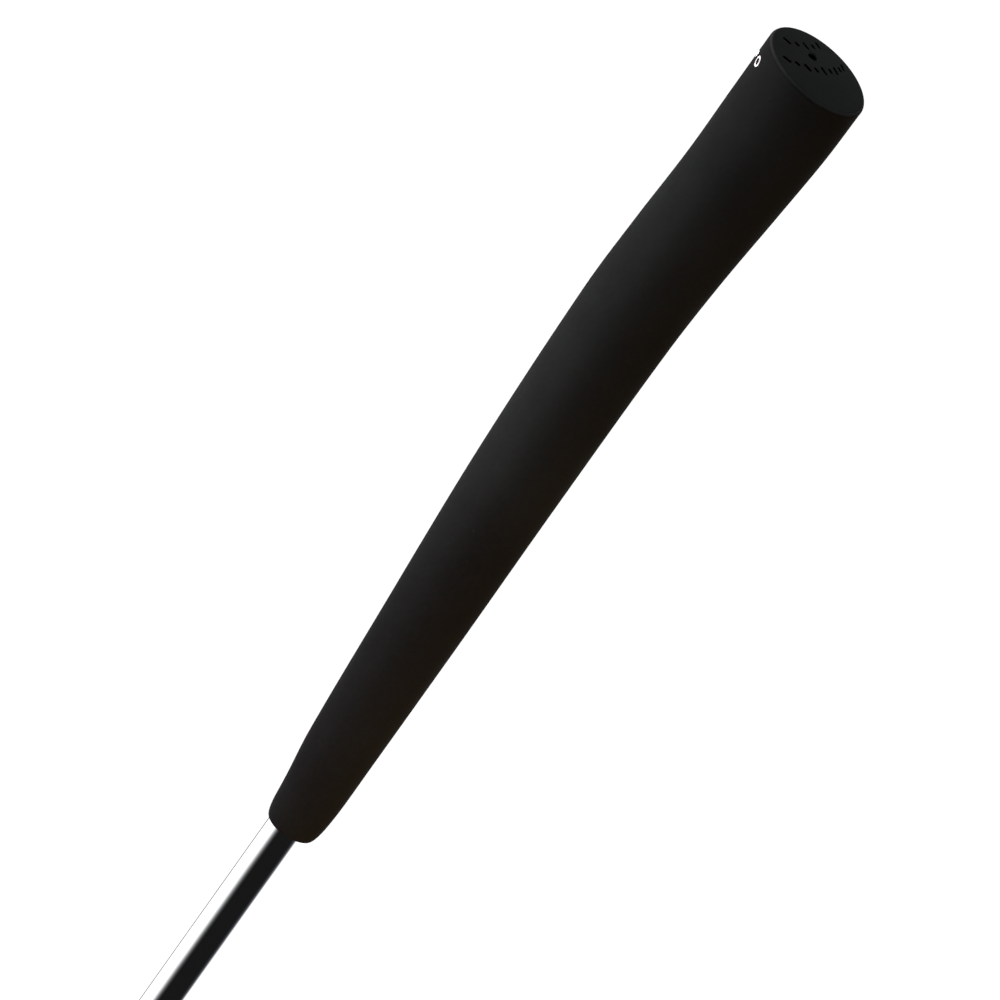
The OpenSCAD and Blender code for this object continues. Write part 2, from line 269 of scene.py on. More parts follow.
class Graph:
    """Builds the nodes of one shader tree. Values may be numbers, colours or sockets."""

    def __init__(self, tree):
        self.tree = tree

    def feed(self, socket, value):
        if isinstance(value, bpy.types.NodeSocket):
            self.tree.links.new(value, socket)
        else:
            socket.default_value = rgba(value) if socket.type == "RGBA" else value

    def node(self, kind, inputs=None, **settings):
        node = self.tree.nodes.new(kind)
        for key, value in settings.items():
            setattr(node, key, value)
        for key, value in (inputs or {}).items():
            self.feed(node.inputs[key], value)
        return node

    def math(self, operation, *values, clamp=False):
        return self.node("ShaderNodeMath", dict(enumerate(values)),
                         operation=operation, use_clamp=clamp).outputs[0]

    def add(self, a, b):
        return self.math("ADD", a, b)

    def sub(self, a, b):
        return self.math("SUBTRACT", a, b)

    def mul(self, a, b):
        return self.math("MULTIPLY", a, b)

    def dot(self, a, b):
        return self.node("ShaderNodeVectorMath", {0: a, 1: b},
                         operation="DOT_PRODUCT").outputs["Value"]

    def mix(self, fac, a, b, blend="MIX"):
        return self.node("ShaderNodeMix", {0: fac, 6: a, 7: b},
                         data_type="RGBA", blend_type=blend).outputs[2]

    def ramp(self, fac, stops):
        """stops are (position, colour or grey)."""
        node = self.node("ShaderNodeValToRGB", {"Fac": fac})
        elements = node.color_ramp.elements
        while len(elements) > 1:
            elements.remove(elements[-1])
        elements[0].position, elements[0].color = stops[0][0], rgba(stops[0][1])
        for position, colour in stops[1:]:
            elements.new(position).color = rgba(colour)
        return node.outputs["Color"]

    def remap(self, value, source, target, **settings):
        return self.node("ShaderNodeMapRange", {
            "Value": value, "From Min": source[0], "From Max": source[1],
            "To Min": target[0], "To Max": target[1]}, **settings).outputs[0]


class Material(Graph):
    """A Principled material with object-space textures."""

    def __init__(self, name):
        self.material = bpy.data.materials.new(name)
        self.material.use_nodes = True
        super().__init__(self.material.node_tree)
        self.bsdf = self.tree.nodes["Principled BSDF"]
        self.place = self.node("ShaderNodeTexCoord").outputs["Object"]

    def set(self, **inputs):
        for key, value in inputs.items():
            self.feed(self.bsdf.inputs[key.replace("_", " ")], value)

    def scaled(self, x, y, z):
        return self.node("ShaderNodeMapping",
                         {"Vector": self.place, "Scale": (x, y, z)}).outputs[0]

    def noise(self, scale, detail=4.0, roughness=0.55, vector=None, distortion=0.0):
        return self.node("ShaderNodeTexNoise", {
            "Vector": vector or self.place, "Scale": scale, "Detail": detail,
            "Roughness": roughness, "Distortion": distortion}).outputs["Fac"]

    def voronoi(self, scale, feature="F1"):
        return self.node("ShaderNodeTexVoronoi", {"Vector": self.place, "Scale": scale},
                         feature=feature).outputs["Distance"]

    def bump(self, height, strength, distance, normal=None):
        inputs = {"Height": height, "Strength": strength, "Distance": distance}
        if normal:
            inputs["Normal"] = normal
        return self.node("ShaderNodeBump", inputs).outputs[0]

    def edge_wear(self, radius):
        """0 on flats, towards 1 along edges."""
        bevel = self.node("ShaderNodeBevel", {"Radius": radius}, samples=4)
        geometry = self.node("ShaderNodeNewGeometry")
        bend = self.sub(1.0, self.dot(bevel.outputs[0], geometry.outputs["Normal"]))
        return self.remap(bend, source=(0.002, 0.105), target=(0.0, 1.0))


# ---------------------------------------------------------------- materials

def rubber(name, base, rough, spec, grain=5200.0, grain_height=0.00003, sheen=0.12,
           tint=(0.9, 1.0, 0.92)):
    """Dark pebbled rubber; grain is the texture scale, tint colours its lighter clouds."""
    m = Material(name)
    clouds = m.noise(scale=18.0, detail=5.0, roughness=0.6)
    fine = m.noise(scale=900.0, detail=3.0, roughness=0.6)
    shade = m.add(m.mul(clouds, 0.75), m.mul(fine, 0.25))
    dark = tuple(x * 0.78 for x in base)
    light = tuple(x * 1.28 * k for x, k in zip(base, tint))
    colour = m.ramp(shade, [(0.32, dark), (0.68, light)])
    # scattered dust
    specks = m.ramp(m.voronoi(scale=260.0), [(0.0, 1.0), (0.035, 1.0), (0.06, 0.0)])
    patches = m.ramp(m.noise(scale=45.0, detail=2.0), [(0.56, 0.0), (0.66, 1.0)])
    dust = m.mul(specks, patches)
    dust_strength, dust_colour = 0.22, (0.09, 0.09, 0.085)
    m.set(Base_Color=m.mix(m.mul(dust, dust_strength), colour, dust_colour),
          Roughness=m.remap(m.noise(scale=60.0, detail=4.0, roughness=0.6),
                            source=(0.3, 0.7), target=(rough - 0.05, rough + 0.07)),
          Specular_IOR_Level=spec, Sheen_Weight=sheen, Sheen_Roughness=0.55,
          Sheen_Tint=(0.86, 0.95, 0.88))
    grains = m.noise(scale=grain, detail=2.0, roughness=0.5)
    pebbles = m.voronoi(scale=grain * 0.45, feature="SMOOTH_F1")
    height = m.add(m.mul(grains, 0.6), m.mul(pebbles, 0.4))
    waves = m.bump(m.noise(scale=70.0, detail=3.0, roughness=0.5),
                   strength=0.25, distance=0.00025)
    m.set(Normal=m.bump(height, strength=0.55, distance=grain_height, normal=waves))
    return m


def print_grip(m):
    """Adds a paler line round the top edge, a painted highlight, and a printed row of rings and
    dots in front.
    """
    row_radius, gap = 0.0163, 0.0045      # wrap radius and spacing of the row, metres
    row_below_top = 6.0                   # mm
    ring_radius, dot_radius = 0.0013, 0.0010
    ring_half_width = (0.00026, 0.00038)  # ragged between these
    row_half_length = gap * 3.5           # seven marks
    # the paler line is a painted highlight round the top edge; the second colour is the print
    rim_highlight_colour, print_colour = (0.0275,) * 3, (0.66, 0.66, 0.65)

    plain = m.bsdf.inputs["Base Color"].links[0].from_socket
    x, y, z = m.node("ShaderNodeSeparateXYZ", {0: m.place}).outputs
    normal = m.node("ShaderNodeTexCoord").outputs["Normal"]
    normal_z = m.node("ShaderNodeSeparateXYZ", {0: normal}).outputs[2]
    # the paler line, a painted highlight: where the surface turns over, in the top few
    # millimetres
    edge = m.ramp(normal_z, [(0.0, 0.0), (0.34, 0.0), (0.50, 1.0), (0.78, 1.0), (0.90, 0.0)])
    top = MOUTH + GRIP_LENGTH
    high = m.remap(z, source=((top - 4.5) * MM, (top - 3.5) * MM), target=(0.0, 1.0))
    # noise that breaks up the painted highlight along the rim
    edge_lightening = m.remap(m.noise(scale=160.0, detail=3.0, roughness=0.6),
                   source=(0.35, 0.65), target=(0.55, 1.0))
    rim_highlight = m.math("MULTIPLY", m.mul(edge, high), edge_lightening, clamp=True)
    colour = m.mix(rim_highlight, plain, rim_highlight_colour)

    # the row: laid out by arc length round the front, and height
    ahead = m.mul(m.add(y, TOP_FORWARD * MM), -1.0)
    arc = m.mul(m.math("ARCTAN2", x, ahead), row_radius)

    def cell():
        return m.add(m.math("DIVIDE", arc, gap), 0.5)

    across = m.mul(m.sub(m.math("FRACT", cell()), 0.5), gap)
    up = m.sub(z, (top - row_below_top) * MM)
    distance = m.math("SQRT", m.add(m.mul(across, across), m.mul(up, up)))
    off_ring = m.math("ABSOLUTE", m.sub(distance, ring_radius))
    ragged = m.remap(m.noise(scale=2600.0, detail=2.0, roughness=0.6),
                     source=(0.3, 0.7), target=ring_half_width)
    ring = m.math("LESS_THAN", off_ring, ragged)
    dot = m.math("LESS_THAN", distance, dot_radius)
    odd = m.math("ABSOLUTE", m.math("MODULO", m.math("FLOOR", cell()), 2.0))
    inked = m.add(m.mul(odd, ring), m.mul(m.sub(1.0, odd), dot))
    row = m.math("LESS_THAN", m.math("ABSOLUTE", arc), row_half_length)
    m.set(Base_Color=m.mix(m.mul(inked, row), colour, print_colour))


def metal(name, base, rough, tool_marks=0.0, edge_lightening=0.0, aniso=0.0):
    """Plated or turned metal; tool_marks is the strength of fine circular lines about Z."""
    m = Material(name)
    dull = tuple(x * 0.93 for x in base)
    bright = tuple(min(1, x * 1.05) for x in base)
    colour = m.ramp(m.noise(scale=40.0, detail=4.0, roughness=0.6), [(0.3, dull), (0.7, bright)])
    smudge = m.ramp(m.noise(scale=110.0, detail=5.0, roughness=0.65, distortion=0.4),
                    [(0.42, 0.0), (0.72, 1.0)])
    # lighter, worn metal along the edges, by this amount
    if edge_lightening:
        worn = tuple(min(1.0, x * 1.35) for x in base)
        colour = m.mix(m.mul(m.edge_wear(radius=0.0006), edge_lightening), colour, worn)
    m.set(Metallic=1.0, Base_Color=colour, Anisotropic=aniso,
          Roughness=m.add(m.mul(smudge, rough * 0.7 + 0.02), rough))
    depth = 0.00002
    if tool_marks:
        lines = m.noise(scale=5400.0, detail=3.0, roughness=0.7,
                        vector=m.scaled(0.05, 0.05, 1.0))
        grain = m.bump(m.noise(scale=2500.0, detail=2.0), strength=0.08, distance=depth)
        m.set(Normal=m.bump(lines, strength=tool_marks, distance=depth, normal=grain))
    else:
        m.set(Normal=m.bump(m.noise(scale=1500.0, detail=3.0), strength=0.04, distance=depth))
    return m


def gloss_black():
    m = Material("polished_black")
    colour = m.ramp(m.noise(scale=30.0),
                    [(0.3, (0.010, 0.010, 0.012)), (0.7, (0.018, 0.018, 0.020))])
    scratches = m.ramp(m.noise(scale=420.0, detail=2.0, vector=m.scaled(1, 1, 0.12)),
                       [(0.60, 0.0), (0.72, 1.0)])
    smooth, scratched = 0.14, 0.12   # roughness, and what a scratch adds to it
    m.set(Base_Color=colour, Specular_IOR_Level=0.5, Coat_Weight=0.4, Coat_Roughness=0.06,
          Roughness=m.add(m.mul(scratches, scratched), smooth),
          Normal=m.bump(m.noise(scale=900.0, detail=3.0), strength=0.05, distance=0.00003))
    return m


def nylon():
    m = Material("moulded_nylon")
    m.set(Base_Color=m.ramp(m.noise(scale=60.0),
                            [(0.3, (0.035, 0.035, 0.04)), (0.7, (0.06, 0.06, 0.065))]),
          Roughness=m.remap(m.noise(scale=200.0, detail=3.0),
                            source=(0.3, 0.7), target=(0.45, 0.6)),
          Normal=m.bump(m.noise(scale=3000.0, detail=2.0), strength=0.2, distance=0.00003))
    return m


def paper_tape():
    m = Material("creped_paper_tape")
    creases = m.noise(scale=2500.0, detail=3.0, vector=m.scaled(1, 1, 0.25))
    m.set(Base_Color=m.ramp(m.noise(scale=150.0, detail=5.0),
                            [(0.3, (0.66, 0.60, 0.46)), (0.7, (0.82, 0.77, 0.63))]),
          Roughness=0.85, Sheen_Weight=0.2,
          Normal=m.bump(creases, strength=0.6, distance=0.00005))
    return m


MATERIALS = {
    "grip": rubber("grip_soft_touch", base=(0.0103, 0.0107, 0.0109), rough=0.60, spec=0.005,
                   sheen=0.0, tint=(0.95, 1.0, 0.97)),
    # a darker copy of the grip rubber for the sunk marks on the top: painted shade in the
    # recesses
    "recess_shade": rubber("sunk_mark_painted_shade", base=(0.0012,) * 3, rough=0.8, spec=0.01, sheen=0.0),
    "sleeve": rubber("sleeve_rubber", base=(0.013, 0.013, 0.014), rough=0.66, spec=0.18,
                     grain=3600),
    "bumper": rubber("bumper_rubber", base=(0.014, 0.0138, 0.0135), rough=0.72, spec=0.18,
                     grain=3000, grain_height=0.00005),
    "seal": rubber("seal_rubber", base=(0.008,) * 3, rough=0.38, spec=0.5),
    "chrome": metal("bright_chrome", base=(0.93, 0.94, 0.96), rough=0.035),
    "trim": metal("polished_ring", base=(0.86, 0.87, 0.89), rough=0.09, edge_lightening=0.3),
    "steel": metal("satin_nickel", base=(0.58, 0.595, 0.61), rough=0.24, tool_marks=0.22,
                   edge_lightening=0.5, aniso=0.5),
    "cap_metal": metal("satin_nickel_cap", base=(0.55, 0.565, 0.58), rough=0.27,
                       tool_marks=0.2, edge_lightening=0.6),
    "pin": metal("spring_steel", base=(0.30, 0.31, 0.32), rough=0.35, edge_lightening=0.4),
    "wire": metal("drawn_wire", base=(0.45, 0.46, 0.48), rough=0.28),
    "brass": metal("turned_brass", base=(0.72, 0.53, 0.24), rough=0.22, tool_marks=0.3,
                   edge_lightening=0.4),
    "gloss_black": gloss_black(),
    "nylon": nylon(),
    "tape": paper_tape(),
}
print_grip(MATERIALS["grip"])


def paint(obj, key):
    obj.data.materials.clear()
    obj.data.materials.append(MATERIALS[key].material)


def register(obj, body, node):
    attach(obj, body)
    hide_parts(node)


def fit(obj, key, body, node):
    paint(obj, key)
    register(obj, body, node)


# ---------------------------------------------------------------- grip

GRIP_ANGLES = np.linspace(0, 2 * math.pi, 224, endpoint=False)   # 0 at the front
GRIP_COS, GRIP_SIN = np.cos(GRIP_ANGLES), np.sin(GRIP_ANGLES)


def section_value(z, column):
    """A column of STATIONS at height z, on a smooth curve through its points."""
    heights, values = STATIONS[:, 0], STATIONS[:, column]
    last = len(heights) - 1

    def slope(i):
        a, b = max(i - 1, 0), min(i + 1, last)
        return (values[b] - values[a]) / (heights[b] - heights[a])

    i = int(np.clip(np.searchsorted(heights, z, side="right") - 1, 0, last - 1))
    span = heights[i + 1] - heights[i]
    u = (z - heights[i]) / span
    return ((2 * u**3 - 3 * u**2 + 1) * values[i] + (u**3 - 2 * u**2 + u) * span * slope(i)
            + (3 * u**2 - 2 * u**3) * values[i + 1] + (u**3 - u**2) * span * slope(i + 1))


def signed_power(value, power):
    return np.sign(value) * np.abs(value) ** power


def grip_ring(z, inset=0.0, scale=1.0, lift=0.0, section=None):
    """A section at height z; section is the height its size comes from, if not z."""
    if section is None:
        section = z
    front, back, half_width = (section_value(section, k) - inset for k in (1, 2, 3))
    half_depth, forward = (front + back) / 2, (front - back) / 2
    # the front half is a little squarer than an ellipse, except near the ends
    squareness = 2 + 0.25 * min(section / 80, 1) * min((GRIP_LENGTH - section) / 80, 1)
    power = 2 / np.where(GRIP_COS > 0, squareness, 2.0)
    x = scale * half_width * signed_power(GRIP_SIN, power)
    ahead = scale * half_depth * signed_power(GRIP_COS, power)
    rake = RAKE * max(z - GRIP_LENGTH + RAKE_SPAN, 0) / RAKE_SPAN
    return np.column_stack([x, -forward - ahead, z + lift + rake * ahead])


def grip_body():
    """The closed outer skin: rounded lip, sides, rounded rim and domed top."""
    rings = []
    for k in range(20):
        z = LIP_HEIGHT * (1 - math.cos(k / 20 * math.pi / 2))
        curve = math.sqrt(max(0.0, 1 - ((LIP_HEIGHT - z) / LIP_HEIGHT) ** 2))
        rings.append(grip_ring(z, LIP_INSET * (1 - curve)))
    for z in np.linspace(LIP_HEIGHT, GRIP_LENGTH - RIM * 0.95, 300):
        rings.append(grip_ring(float(z)))
    rim_start = GRIP_LENGTH - RIM * math.sin(RIM_ARC)
    # leave out side rings that would crowd the rim
    rings = [ring for ring in rings if ring[:, 2].mean() < rim_start - 0.15]
    for k in range(13):
        a = RIM_ARC * k / 12
        rings.append(grip_ring(rim_start + RIM * math.sin(a), RIM * (1 - math.cos(a)),
                               section=GRIP_LENGTH))
    for scale in np.linspace(1, 0, 60)[1:-1]:
        scale = float(scale)
        rings.append(grip_ring(GRIP_LENGTH, RIM_INSET, scale, lift=CROWN * (1 - scale ** 2)))
    verts, faces = weld_rings(rings, (0, 0, 0), (0, -TOP_FORWARD, GRIP_LENGTH + CROWN))
    verts = verts + np.array([0, 0, MOUTH])
    return make("grip_skin", verts * MM, faces, sharp=None)


def dome_z(x, y):
    """Height of the grip's domed top over (x, y), in the stick's frame."""
    front, back, half_width = (section_value(GRIP_LENGTH, k) - RIM_INSET for k in (1, 2, 3))
    half_depth, forward = (front + back) / 2, (front - back) / 2
    out = (x / half_width) ** 2 + ((y + forward) / half_depth) ** 2
    return GRIP_LENGTH + CROWN * max(0.0, 1 - out) - RAKE * (y + forward) + MOUTH


def bore_cutter():
    wide = BORE_R + 0.15
    return turned("cut_core", [
        (0, MOUTH - 2), (wide, MOUTH - 2), (wide, MOUTH + 0.05), (BORE_R, MOUTH + 0.3),
        (BORE_R, MOUTH + POCKET_BOTTOM), (POCKET_R, MOUTH + POCKET_BOTTOM),
        (POCKET_R, MOUTH + POCKET_TOP), (0, MOUTH + POCKET_TOP)], segments=128, sharp=30)


def vent_cutter():
    """A hole from the pocket up through the top, flared at its upper edge."""
    start = MOUTH + POCKET_TOP - 2
    top = dome_z(0, -VENT_FORWARD)
    cutter = turned("cut_vent", [
        (0, start), (VENT_R, start), (VENT_R, top - 0.45), (VENT_R + 0.12, top - 0.22),
        (VENT_R + 0.42, top + 0.02), (VENT_R + 0.8, top + 2), (0, top + 2)], segments=64)
    cutter.data.transform(Matrix.Translation((0, -VENT_FORWARD * MM, 0)))
    return cutter


SLOT_WIDTH, SLOT_DEPTH = 0.95, 0.6
SLOT_LENGTHS = (2.9, 1.9)    # by turns along a row
SLOT_TURN = -2.2             # degrees a slot turns for each mm of x
# (x, y) of the slots: a row in front of the vent and one behind it
SLOT_ROWS = (
    [(5.0, -12.4), (2.3, -10.95), (-0.6, -10.1), (-3.5, -9.95), (-6.2, -10.5)],
    [(10.4, -6.0), (8.0, -4.1), (5.4, -2.4), (2.7, -1.45), (0.0, -1.0), (-2.7, -0.95),
     (-5.2, -1.2), (-7.6, -1.8), (-9.8, -2.7)],
)


def slot_solid(x, y, length, turn, first):
    """A round-ended bar widening upwards; turn takes its length from -Y towards -X.
    first is the number of its first vertex."""
    steps = 10
    outline = []
    for side, start in ((1, -math.pi / 2), (-1, math.pi / 2)):
        for i in range(steps + 1):
            t = start + math.pi * i / steps
            outline.append(((length - SLOT_WIDTH) / 2 * side + SLOT_WIDTH / 2 * math.cos(t),
                            SLOT_WIDTH / 2 * math.sin(t)))
    floor_z = dome_z(x, y) - SLOT_DEPTH
    verts = []
    # (height above the slot's floor, scale of its width)
    for rise, scale in ((0, 0.82), (SLOT_DEPTH, 1.0), (SLOT_DEPTH + 1.2, 1.25)):
        stretch = (length - SLOT_WIDTH + SLOT_WIDTH * scale) / length
        for u, w in outline:
            u, w = u * stretch, w * scale
            verts.append(((x - u * math.sin(turn) - w * math.cos(turn)) * MM,
                          (y - u * math.cos(turn) + w * math.sin(turn)) * MM,
                          (floor_z + rise) * MM))
    n = len(outline)
    faces = []
    for level in range(2):
        a, b = first + level * n, first + (level + 1) * n
        for i in range(n):
            j = (i + 1) % n
            faces.append((a + i, b + i, b + j, a + j))
    faces.append(tuple(first + i for i in range(n)))
    faces.append(tuple(first + 2 * n + i for i in reversed(range(n))))
    return verts, faces


def slots_cutter():
    verts, faces = [], []
    for row in SLOT_ROWS:
        for i, (x, y) in enumerate(row):
            more_verts, more_faces = slot_solid(x, y, SLOT_LENGTHS[i % 2],
                                                math.radians(SLOT_TURN * x), len(verts))
            verts += more_verts
            faces += more_faces
    return make("cut_marks", verts, faces, sharp=None)


def in_slot(x, y, z):
    """Whether a point, in mm, is sunk below the top, clear of the vent and the rim."""
    return (z > MOUTH + GRIP_LENGTH - 3 and math.hypot(x, y + VENT_FORWARD) > 2.4
            and dome_z(x, y) - z > 0.12
            and math.hypot(x / 12.2, (y + TOP_FORWARD) / 13.6) < 1)


def build_grip():
    grip = grip_body()
    for make_cutter in (bore_cutter, vent_cutter, slots_cutter):
        cut(grip, make_cutter(), "MANIFOLD")
    grip.data.shade_smooth()
    grip.data.set_sharp_from_angle(angle=math.radians(28))
    paint(grip, "grip")
    # the sunk marks take the darker copy: painted shade in the recesses
    grip.data.materials.append(MATERIALS["recess_shade"].material)
    for face in grip.data.polygons:
        if in_slot(*(c / MM for c in face.center)):
            face.material_index = 1
    register(grip, "stick", "grip")


# ---------------------------------------------------------------- tube and its fittings

def build_tube():
    inner = TUBE_R - TUBE_WALL
    tube = turned("tube_polished", fillet([
        (inner, TUBE_BOTTOM + 1), (inner, TUBE_BOTTOM, 0.25), (TUBE_R, TUBE_BOTTOM, 0.3),
        (TUBE_R, PIN_Z - 4), (TUBE_R, PIN_Z + 4), (TUBE_R, PIN_Z + 8), (TUBE_R, TUBE_TOP - 2),
        (TUBE_R, TUBE_TOP, 0.3), (inner, TUBE_TOP, 0.25), (inner, TUBE_TOP - 1),
        (inner, PIN_Z + 8), (inner, PIN_Z + 4), (inner, PIN_Z - 4)]), segments=256)
    cut_pin_hole(tube, half_length=8)
    fit(tube, "chrome", "stick", "tube")


def build_tape():
    bottom, top, _ = extent("grip_tape")
    inner, outer = 6.01, 6.25
    tape = turned("tape_wrap", fillet([
        (inner, bottom + 1), (inner, bottom, 0.05), (outer, bottom, 0.06),
        (outer, top, 0.06), (inner, top, 0.05), (inner, top - 1)], steps=2), segments=128)
    fit(tape, "tape", "stick", "grip_tape")


def build_butt_plug():
    """A stem with three barbs under a round head."""
    bottom, top, _ = extent("butt_plug")
    head_height, barb_pitch, stem_r = 1.43, 3.0, 4.48
    seat = top - head_height
    outline = [(0, bottom), (3.5, bottom), (3.9, bottom + 0.5)]
    for k in range(3):
        z = bottom + 2.0 + barb_pitch * k
        outline += [(4.05, z - 0.9), (stem_r, z), (stem_r, z + 0.35), (4.1, z + 0.75),
                    (4.1, z + 1.5)]
    outline += [(stem_r, seat - 1.2), (stem_r, seat), (5.8, seat), (5.8, seat + 1.0),
                (5.3, seat + head_height), (2.6, seat + head_height), (2.3, seat + 0.7),
                (0, seat + 0.7)]
    plug = turned("butt_plug_barbed", fillet(outline, 0.12, steps=3), segments=128)
    fit(plug, "nylon", "stick", "butt_plug")


def build_ferrule():
    """A collar with three turned grooves, then a long hollow-curved taper up to the tube."""
    bottom, top, radius = extent("ferrule")
    groove_rises, groove_depth = (2.6, 3.9, 5.2), 0.34
    bead_below_top, bead_height = 1.9, 0.16
    taper_end_r = 6.9
    outline = [(TUBE_R + 0.03, bottom + 0.35), (TUBE_R + 0.35, bottom), (radius - 0.35, bottom),
               (radius, bottom + 0.35), (radius, bottom + 1.1)]
    for z in np.arange(bottom + 1.3, top - 0.75, 0.14):
        z = float(z)
        u = min(max((z - bottom - 1.2) / (top - bottom - 2.0), 0.0), 1.0)
        r = taper_end_r + (radius - taper_end_r) * (1 - u) ** 1.5
        for rise in groove_rises:
            r -= groove_depth * math.exp(-(((z - bottom - rise) / 0.26) ** 4))
        r += bead_height * math.exp(-(((z - (top - bead_below_top)) / 0.5) ** 4))
        outline.append((max(r, TUBE_R + 0.4), z))
    outline += [(TUBE_R + 0.62, top - 0.4), (TUBE_R + 0.35, top - 0.06), (TUBE_R + 0.12, top),
                (TUBE_R + 0.03, top - 0.1)]
    ferrule = turned("ferrule_turned", outline, segments=224, sharp=40)
    fit(ferrule, "gloss_black", "stick", "ferrule")


def build_trim_ring():
    """A ring with a V groove round its middle."""
    bottom, top, radius = extent("trim_ring")
    middle = (bottom + top) / 2
    inner = TUBE_R + 0.03
    ring = turned("trim_ring_polished", fillet([
        (inner, bottom + 0.6), (inner, bottom), (radius - 0.12, bottom), (radius, bottom + 0.5),
        (radius, middle - 0.3), (radius - 0.32, middle), (radius, middle + 0.3),
        (radius, top - 0.5), (radius - 0.12, top), (inner, top), (inner, top - 0.6)],
        0.22), segments=224, sharp=45)
    fit(ring, "trim", "stick", "trim_ring")


# ---------------------------------------------------------------- barrel

def build_barrel():
    """Threaded mouth, slug chamber, solid web and tube socket, with a recess for the sleeve."""
    bottom, top, radius = BARREL_BOTTOM, BARREL_TOP, BARREL_R
    chamber_top, socket_floor = top - 26.0, top - 22.0
    chamber_r, mouth_r = 10.0, 10.45
    thread_top = 31.0
    seat_low, seat_high = SLEEVE_BOTTOM - 0.05, SLEEVE_TOP + 0.05
    outline = [
        (0, chamber_top), (9.6, chamber_top), (chamber_r, chamber_top - 0.4),
        (chamber_r, thread_top + 0.2), (chamber_r, bottom + 3.4),
        (mouth_r, bottom + 3.0), (mouth_r, bottom + 0.25), (10.7, bottom),
        (radius - 0.55, bottom), (radius, bottom + 0.55), (radius, bottom + 2.1),
        (radius - 0.3, bottom + 2.35), (radius - 0.3, bottom + 2.75), (radius, bottom + 3.0),
        (radius, seat_low - 0.35), (radius - 0.35, seat_low), (SLEEVE_SEAT_R, seat_low),
        (SLEEVE_SEAT_R, seat_high), (radius - 0.35, seat_high), (radius, seat_high + 0.35),
        (radius, top - 2.6), (radius - 0.2, top - 1.75), (radius - 1.8, top),
        (TUBE_R + 0.4, top), (TUBE_R + 0.03, top - 0.35), (TUBE_R + 0.03, socket_floor + 0.3),
        (TUBE_R - 0.25, socket_floor), (0, socket_floor)]
    outline = dense(fillet(outline, 0.14, steps=3), 0.125, bottom + 3.35, thread_top + 0.3)

    def thread(r, z, angles):
        if 9.9 < r < 10.2 and bottom + 3.3 < z < thread_top + 0.3:
            return (helix(z, angles, THREAD_PITCH, THREAD_STARTS, depth=0.5)
                    * window(z, bottom + 3.5, thread_top, soft=1.0))
        return 0.0

    barrel = turned("barrel_turned", outline, segments=256, shape=thread, sharp=38)
    cut_pin_hole(barrel, half_length=radius + 2)
    fit(barrel, "steel", "stick", "head_barrel")


def build_sleeve():
    """Nine round grooves, with fine upright ribs on the bands between them."""
    bottom, top, radius = SLEEVE_BOTTOM, SLEEVE_TOP, BARREL_R
    inner = SLEEVE_SEAT_R + 0.02
    groove_depth, groove_half = 0.62, 1.15
    rib_count, rib_depth = 60, 0.16
    grooves = [bottom + 8 + 6 * k for k in range(9)]
    bands = [(a + groove_half, b - groove_half) for a, b in zip(grooves[:-1], grooves[1:])]
    outline = [(inner, bottom + 1), (inner, bottom), (radius - 0.4, bottom),
               (radius, bottom + 0.4)]
    for z in grooves:
        outline.append((radius, z - groove_half))
        for k in range(9):
            q = -0.86 + 1.72 * k / 8
            depth = groove_depth * math.sqrt(max(0.0, 1 - (q / 0.95) ** 2))
            outline.append((radius - depth, z + q))
        outline.append((radius, z + groove_half))
    outline += [(radius, top - 0.4), (radius - 0.4, top), (inner, top), (inner, top - 1)]
    outline = dense(outline, 0.45, bottom + 0.3, top - 0.3)

    def ribs(r, z, angles):
        if r > radius - 0.05:
            for a, b in bands:
                if a < z < b:
                    return (-rib_depth * window(z, a, b, soft=0.55)
                            * (0.5 - 0.5 * np.cos(rib_count * angles)) ** 0.7)
        return 0.0

    sleeve = turned("sleeve_ribbed", outline, segments=480, shape=ribs, sharp=50)
    fit(sleeve, "sleeve", "stick", "barrel_sleeve")


def build_cross_pin():
    """A spring pin along X: a C-shaped section with its slot underneath."""
    outer_r, inner_r, half_gap = 1.5, 0.8, 0.25
    outer_steps, inner_steps = 40, 28
    outer_start, inner_start = math.asin(half_gap / outer_r), math.asin(half_gap / inner_r)
    # (radius, angle from straight down): out round the outside, back round the inside
    section = [(outer_r, outer_start + (2 * math.pi - 2 * outer_start) * k / outer_steps)
               for k in range(outer_steps + 1)]
    section += [(inner_r, 2 * math.pi - inner_start
                 - (2 * math.pi - 2 * inner_start) * k / inner_steps)
                for k in range(inner_steps + 1)]
    half = PIN_HALF_LENGTH
    rings = []
    # (x, inset of the outside)
    for x, inset in ((-half, 0.28), (-half + 0.12, 0.1), (-half + 0.4, 0.0),
                     (half - 0.4, 0.0), (half - 0.12, 0.1), (half, 0.28)):
        points = []
        for r, t in section:
            r = r - inset if r > 1 else r
            points.append((x * MM, math.sin(t) * r * MM, (PIN_Z - math.cos(t) * r) * MM))
        rings.append(np.array(points))
    verts, faces = weld_rings(rings)
    # ends: strips of triangles between the outer and inner arcs
    for base, far_end in ((0, False), ((len(rings) - 1) * len(section), True)):
        outer = [base + k for k in range(outer_steps + 1)]
        inner = [base + len(section) - 1 - k for k in range(inner_steps + 1)]
        i = j = 0
        while i < outer_steps or j < inner_steps:
            if j >= inner_steps or (i < outer_steps and i / outer_steps <= j / inner_steps):
                triangle = (outer[i], outer[i + 1], inner[j])
                i += 1
            else:
                triangle = (outer[i], inner[j + 1], inner[j])
                j += 1
            faces.append(triangle if far_end else triangle[::-1])
    pin = make("spring_pin", verts, faces, sharp=40)
    fit(pin, "pin", "stick", "cross_pin")


# ---------------------------------------------------------------- washer, spring and slugs

def build_washer():
    bottom, top, radius = extent("spring_washer")
    inner = 3
    washer = turned("washer_brass", fillet([
        (inner, bottom + 0.5), (inner, bottom, 0.12), (radius, bottom, 0.2),
        (radius, top, 0.2), (inner, top, 0.12), (inner, top - 0.5)]), segments=160)
    fit(washer, "brass", "stick", "spring_washer")


